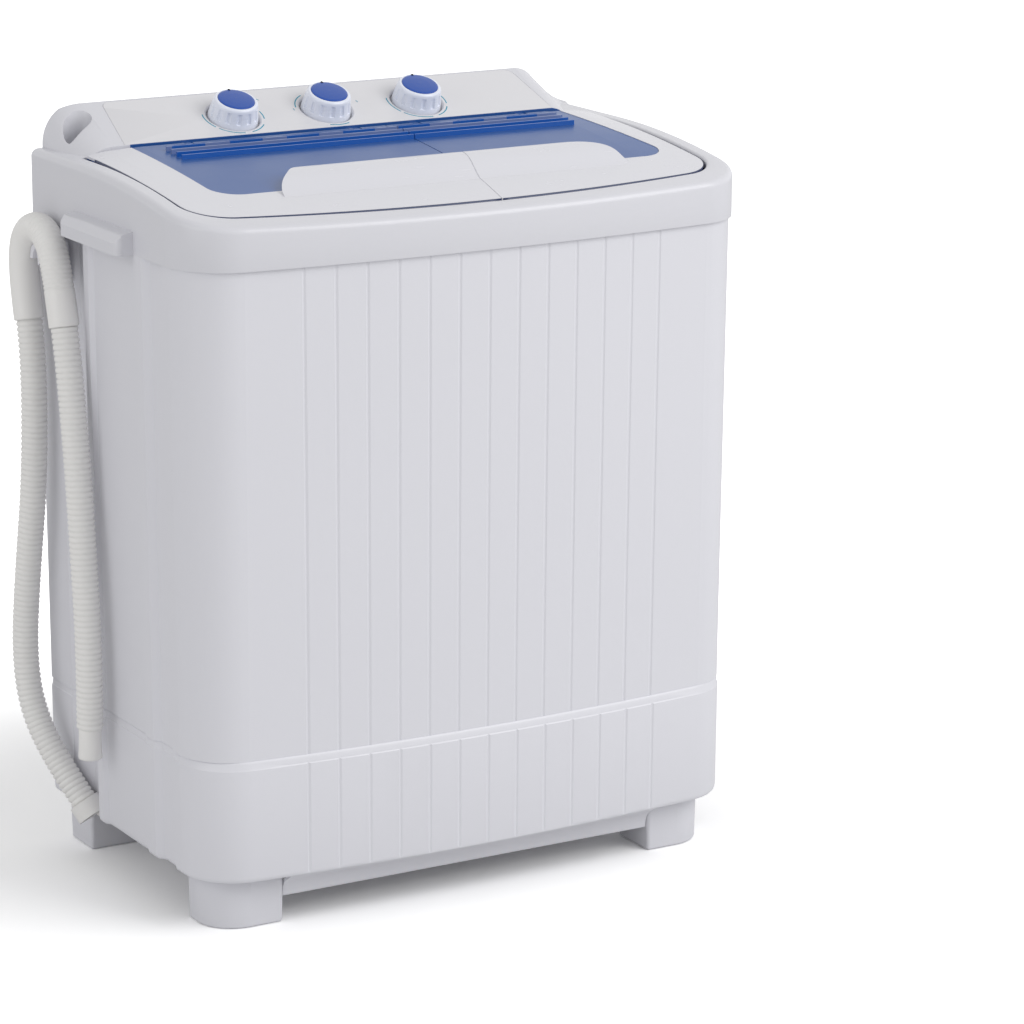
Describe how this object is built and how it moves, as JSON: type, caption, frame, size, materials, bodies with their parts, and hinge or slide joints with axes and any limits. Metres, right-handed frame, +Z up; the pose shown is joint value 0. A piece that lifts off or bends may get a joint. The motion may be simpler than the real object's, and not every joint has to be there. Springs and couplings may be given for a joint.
{
  "type": "twin tub washer",
  "caption": "Compact twin tub washer with a wash tub and a spin basket side by side under hinged lids, a knob panel behind them and a drain hose.",
  "frame": {"origin": "middle of the footprint on the floor, without the drain hose", "axes": "+X to the user's right, -Y to the front, +Z up"},
  "size_m": [0.6346, 0.3565, 0.7219],
  "materials": {
    "shell_white": "moulded white plastic",
    "trim_white": "moulded white plastic",
    "tub_white": "moulded off-white plastic",
    "tinted_blue": "translucent blue plastic",
    "cap_blue": "glossy blue plastic",
    "hose_white": "flexible corrugated plastic",
    "guide_white": "moulded off-white plastic",
    "foot_white": "moulded white plastic",
    "dark_plastic": "black plastic",
    "drive_black": "black rubber",
    "plated_steel": "plated steel",
    "motor_grey": "grey painted metal",
    "cast_alloy": "die-cast alloy"
  },
  "bodies": {
    "machine": {"base_skirt": "shell_white", "brake_post": "plated_steel", "cabinet_shell": "shell_white", "capacitors": "motor_grey", "control_fascia": "trim_white", "cord_gland": "dark_plastic", "drain_hose": "hose_white", "drain_pipe": "drive_black", "drain_valve": "dark_plastic", "drive_belt": "drive_black", "feet": "foot_white", "hinge_pins": "plated_steel", "hose_cuff": "hose_white", "hose_gland": "hose_white", "hose_guide": "guide_white", "hose_hook": "shell_white", "lint_filter": "tub_white", "mode_switch": "dark_plastic", "motor_bracket": "plated_steel", "motor_dampers": "drive_black", "overflow_grille": "tub_white", "rear_panel": "shell_white", "rear_screws": "plated_steel", "shaft_bellows": "drive_black", "shaft_housing": "dark_plastic", "spin_motor": "motor_grey", "spin_motor_plate": "plated_steel", "spin_timer_switch": "dark_plastic", "spin_tub": "tub_white", "terminal_box": "dark_plastic", "top_frame": "shell_white", "wash_motor": "motor_grey", "wash_timer_switch": "dark_plastic", "wash_tub": "tub_white"},
    "wash_lid": {"wash_lid_frame": "trim_white", "wash_lid_window": "tinted_blue"},
    "spin_lid": {"spin_lid_frame": "trim_white", "spin_lid_window": "tinted_blue"},
    "wash_timer_dial": {"wash_timer_knob": "trim_white", "wash_timer_cap": "cap_blue", "wash_timer_spindle": "plated_steel"},
    "mode_dial": {"mode_knob": "trim_white", "mode_cap": "cap_blue", "mode_spindle": "plated_steel"},
    "spin_timer_dial": {"spin_timer_knob": "trim_white", "spin_timer_cap": "cap_blue", "spin_timer_spindle": "plated_steel"},
    "wash_rotor": {"pulsator": "trim_white", "pulsator_cap": "cap_blue", "pulsator_shaft": "plated_steel", "large_pulley": "dark_plastic"},
    "motor_rotor": {"motor_pulley": "cast_alloy", "motor_shaft": "plated_steel"},
    "spin_rotor": {"spin_basket": "tub_white", "spin_shaft": "plated_steel", "basket_nut": "plated_steel", "brake_drum": "cast_alloy"},
    "plate": {"press_plate": "trim_white"},
    "brake": {"brake_lever": "dark_plastic"}
  },
  "joints": [
    {"name": "wash_lid_hinge", "type": "hinge", "parent": "machine", "child": "wash_lid", "pos_m": [-0.115, 0.091, 0.67697], "axis": [-1, 0, 0], "range_deg": [0, 95]},
    {"name": "spin_lid_hinge", "type": "hinge", "parent": "machine", "child": "spin_lid", "pos_m": [0.155, 0.091, 0.67697], "axis": [-1, 0, 0], "range_deg": [0, 95]},
    {"name": "wash_timer_turn", "type": "hinge", "parent": "machine", "child": "wash_timer_dial", "pos_m": [-0.1025, 0.1305, 0.69776], "axis": [0, 0.3907, -0.9205], "range_deg": [0, 300]},
    {"name": "mode_turn", "type": "hinge", "parent": "machine", "child": "mode_dial", "pos_m": [-0.004, 0.1305, 0.69776], "axis": [0, 0.3907, -0.9205], "range_deg": [-90, 90]},
    {"name": "spin_timer_turn", "type": "hinge", "parent": "machine", "child": "spin_timer_dial", "pos_m": [0.0945, 0.1305, 0.69776], "axis": [0, 0.3907, -0.9205], "range_deg": [0, 300]},
    {"name": "pulsator_spin", "type": "hinge", "parent": "machine", "child": "wash_rotor", "pos_m": [-0.121, -0.029, 0.23], "axis": [0, 0, 1], "continuous": true},
    {"name": "wash_motor_spin", "type": "hinge", "parent": "machine", "child": "motor_rotor", "pos_m": [-0.03, 0.052, 0.2], "axis": [0, 0, 1], "continuous": true},
    {"name": "basket_spin", "type": "hinge", "parent": "machine", "child": "spin_rotor", "pos_m": [0.152, -0.028, 0.3], "axis": [0, 0, 1], "continuous": true},
    {"name": "press_plate_lift", "type": "slide", "parent": "spin_rotor", "child": "plate", "axis": [0, 0, 1], "range_m": [0, 0.24]},
    {"name": "brake_turn", "type": "hinge", "parent": "machine", "child": "brake", "pos_m": [0.086, -0.064, 0.207], "axis": [0, 0, -1], "range_deg": [0, 4]}
  ],
  "couplings": [
    {"joint": "wash_motor_spin", "follows": "pulsator_spin", "ratio": 5.1538},
    {"joint": "brake_turn", "follows": "spin_lid_hinge", "ratio": 0.042}
  ]
}
